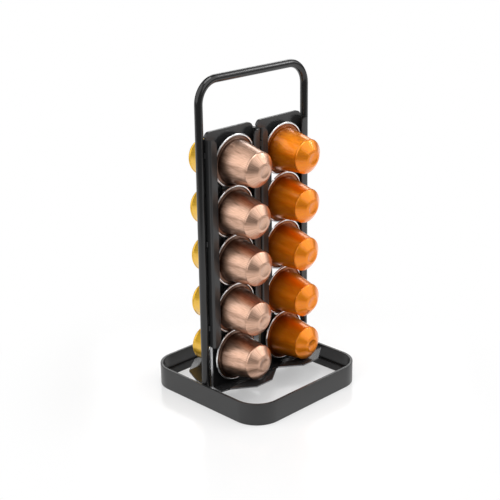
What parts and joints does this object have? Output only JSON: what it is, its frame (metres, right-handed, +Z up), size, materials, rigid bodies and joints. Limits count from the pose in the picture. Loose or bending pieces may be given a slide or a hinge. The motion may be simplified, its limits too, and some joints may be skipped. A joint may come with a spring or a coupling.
{
  "type": "coffee capsule holder",
  "caption": "Carry-handled stand on a square ring base, with folded sheet channels back to back that hold stacked coffee capsules by their rims.",
  "frame": {"origin": "centre of the ring's underside, on the table", "axes": "+Z up, X along the carry handle, -Y out of the two front channels"},
  "size_m": [0.108, 0.108, 0.2264],
  "materials": {
    "black_coat": "satin powder coat",
    "rubber_strip": "matt",
    "bronze_capsule": "satin lacquer",
    "orange_capsule": "satin lacquer",
    "gold_capsule": "satin lacquer",
    "foil": "foil"
  },
  "bodies": {
    "holder": {"base_ring": "black_coat", "foot_strip": "rubber_strip", "handle": "black_coat", "channel_front_left": "black_coat", "channel_front_right": "black_coat", "channel_rear_left": "black_coat", "channel_rear_right": "black_coat", "ring_welds": "black_coat", "channel_welds": "black_coat"},
    "capsule_fl_1": {"cup_fl_1": "bronze_capsule", "lid_fl_1": "foil"},
    "capsule_fl_2": {"cup_fl_2": "bronze_capsule", "lid_fl_2": "foil"},
    "capsule_fl_3": {"cup_fl_3": "bronze_capsule", "lid_fl_3": "foil"},
    "capsule_fl_4": {"cup_fl_4": "bronze_capsule", "lid_fl_4": "foil"},
    "capsule_fl_5": {"cup_fl_5": "bronze_capsule", "lid_fl_5": "foil"},
    "capsule_fr_1": {"cup_fr_1": "orange_capsule", "lid_fr_1": "foil"},
    "capsule_fr_2": {"cup_fr_2": "orange_capsule", "lid_fr_2": "foil"},
    "capsule_fr_3": {"cup_fr_3": "orange_capsule", "lid_fr_3": "foil"},
    "capsule_fr_4": {"cup_fr_4": "orange_capsule", "lid_fr_4": "foil"},
    "capsule_fr_5": {"cup_fr_5": "orange_capsule", "lid_fr_5": "foil"},
    "capsule_rl_1": {"cup_rl_1": "gold_capsule", "lid_rl_1": "foil"},
    "capsule_rl_2": {"cup_rl_2": "gold_capsule", "lid_rl_2": "foil"},
    "capsule_rl_3": {"cup_rl_3": "gold_capsule", "lid_rl_3": "foil"},
    "capsule_rl_4": {"cup_rl_4": "gold_capsule", "lid_rl_4": "foil"},
    "capsule_rl_5": {"cup_rl_5": "gold_capsule", "lid_rl_5": "foil"}
  },
  "joints": [
    {"name": "lift_fl_5", "type": "slide", "parent": "holder", "child": "capsule_fl_5", "axis": [0, 0, 1], "range_m": [0, 0.038]},
    {"name": "lift_fl_4", "type": "slide", "parent": "capsule_fl_5", "child": "capsule_fl_4", "axis": [0, 0, 1], "range_m": [0, 0.038]},
    {"name": "lift_fl_3", "type": "slide", "parent": "capsule_fl_4", "child": "capsule_fl_3", "axis": [0, 0, 1], "range_m": [0, 0.038]},
    {"name": "lift_fl_2", "type": "slide", "parent": "capsule_fl_3", "child": "capsule_fl_2", "axis": [0, 0, 1], "range_m": [0, 0.038]},
    {"name": "lift_fl_1", "type": "slide", "parent": "capsule_fl_2", "child": "capsule_fl_1", "axis": [0, 0, 1], "range_m": [0, 0.038]},
    {"name": "lift_fr_5", "type": "slide", "parent": "holder", "child": "capsule_fr_5", "axis": [0, 0, 1], "range_m": [0, 0.038]},
    {"name": "lift_fr_4", "type": "slide", "parent": "capsule_fr_5", "child": "capsule_fr_4", "axis": [0, 0, 1], "range_m": [0, 0.038]},
    {"name": "lift_fr_3", "type": "slide", "parent": "capsule_fr_4", "child": "capsule_fr_3", "axis": [0, 0, 1], "range_m": [0, 0.038]},
    {"name": "lift_fr_2", "type": "slide", "parent": "capsule_fr_3", "child": "capsule_fr_2", "axis": [0, 0, 1], "range_m": [0, 0.038]},
    {"name": "lift_fr_1", "type": "slide", "parent": "capsule_fr_2", "child": "capsule_fr_1", "axis": [0, 0, 1], "range_m": [0, 0.038]},
    {"name": "lift_rl_5", "type": "slide", "parent": "holder", "child": "capsule_rl_5", "axis": [0, 0, 1], "range_m": [0, 0.038]},
    {"name": "lift_rl_4", "type": "slide", "parent": "capsule_rl_5", "child": "capsule_rl_4", "axis": [0, 0, 1], "range_m": [0, 0.038]},
    {"name": "lift_rl_3", "type": "slide", "parent": "capsule_rl_4", "child": "capsule_rl_3", "axis": [0, 0, 1], "range_m": [0, 0.038]},
    {"name": "lift_rl_2", "type": "slide", "parent": "capsule_rl_3", "child": "capsule_rl_2", "axis": [0, 0, 1], "range_m": [0, 0.038]},
    {"name": "lift_rl_1", "type": "slide", "parent": "capsule_rl_2", "child": "capsule_rl_1", "axis": [0, 0, 1], "range_m": [0, 0.038]}
  ]
}
